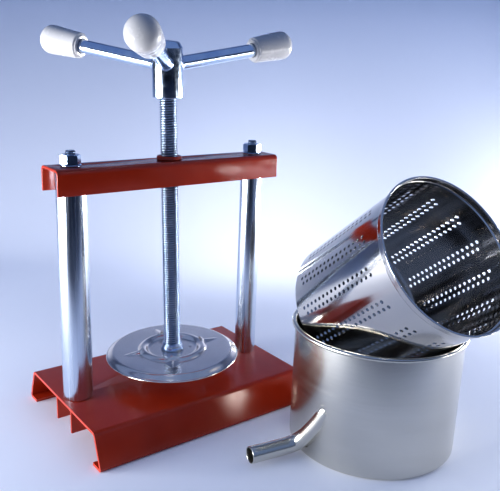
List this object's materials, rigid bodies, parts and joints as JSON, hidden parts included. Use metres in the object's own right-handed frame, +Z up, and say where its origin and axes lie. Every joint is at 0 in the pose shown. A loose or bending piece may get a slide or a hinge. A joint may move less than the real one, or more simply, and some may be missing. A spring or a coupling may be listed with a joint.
{
  "type": "basket wine press",
  "caption": "Bench-top fruit press: steel frame with a handled screw and a press plate, a collecting pot with a side spout, and a perforated basket leaning in the pot.",
  "frame": {"origin": "middle of the footprint of the whole set, frame, pot and basket, on the surface that it stands on", "axes": "+X along the beam from the left column to the right one, -Y towards the pot in front, +Z up"},
  "size_m": [0.3534, 0.4466, 0.4086],
  "materials": {
    "red_enamel": "glossy brick-red enamel on sheet steel",
    "polished_metal": "polished tube with faint lengthwise lines",
    "zinc_plate": "bright zinc plate with a bluish tint",
    "stainless_plate": "stamped stainless sheet, satin with fine circular lines",
    "brushed_stainless": "stainless sheet brushed round the pot, with a bright rim",
    "mirror_stainless": "mirror-polished stainless sheet, perforated",
    "white_plastic": "glossy off-white moulded plastic"
  },
  "bodies": {
    "frame": {"base_channel": "red_enamel", "base_stiffener": "red_enamel", "top_beam": "red_enamel", "beam_nut": "red_enamel", "column_left": "polished_metal", "column_right": "polished_metal", "tie_rod_left": "zinc_plate", "tie_rod_right": "zinc_plate", "top_nut_left": "zinc_plate", "top_nut_right": "zinc_plate", "top_washer_left": "zinc_plate", "top_washer_right": "zinc_plate", "bottom_nut_left": "zinc_plate", "bottom_nut_right": "zinc_plate", "bottom_washer_left": "zinc_plate", "bottom_washer_right": "zinc_plate"},
    "plate": {"press_plate": "stainless_plate", "plate_socket": "zinc_plate"},
    "screw": {"screw_rod": "zinc_plate", "handle_hub": "zinc_plate", "handle_rod_front": "zinc_plate", "handle_rod_right": "zinc_plate", "handle_rod_left": "zinc_plate", "knob_front": "white_plastic", "knob_right": "white_plastic", "knob_left": "white_plastic", "retaining_washer": "zinc_plate", "retaining_screw": "zinc_plate"},
    "pot": {"collecting_pot": "brushed_stainless", "pot_spout": "brushed_stainless"},
    "basket": {"basket": "mirror_stainless"}
  },
  "joints": [
    {"name": "screw_travel", "type": "slide", "parent": "frame", "child": "plate", "axis": [-0.0262, 0, 0.9997], "range_m": [-0.0155, 0.17]},
    {"name": "screw_turn", "type": "hinge", "parent": "plate", "child": "screw", "pos_m": [-0.04885, 0.08283, 0.2736], "axis": [-0.0262, 0, 0.9997], "range_deg": [-2160, 24300]},
    {"name": "pot_lift", "type": "slide", "parent": "frame", "child": "pot", "axis": [0, 0, 1], "range_m": [0, 0.2]},
    {"name": "basket_lift", "type": "slide", "parent": "pot", "child": "basket", "axis": [-0.0396, -0.786, 0.617], "range_m": [0, 0.16]}
  ],
  "couplings": [
    {"joint": "screw_travel", "follows": "screw_turn", "m_per_rad": 0.00039789}
  ]
}
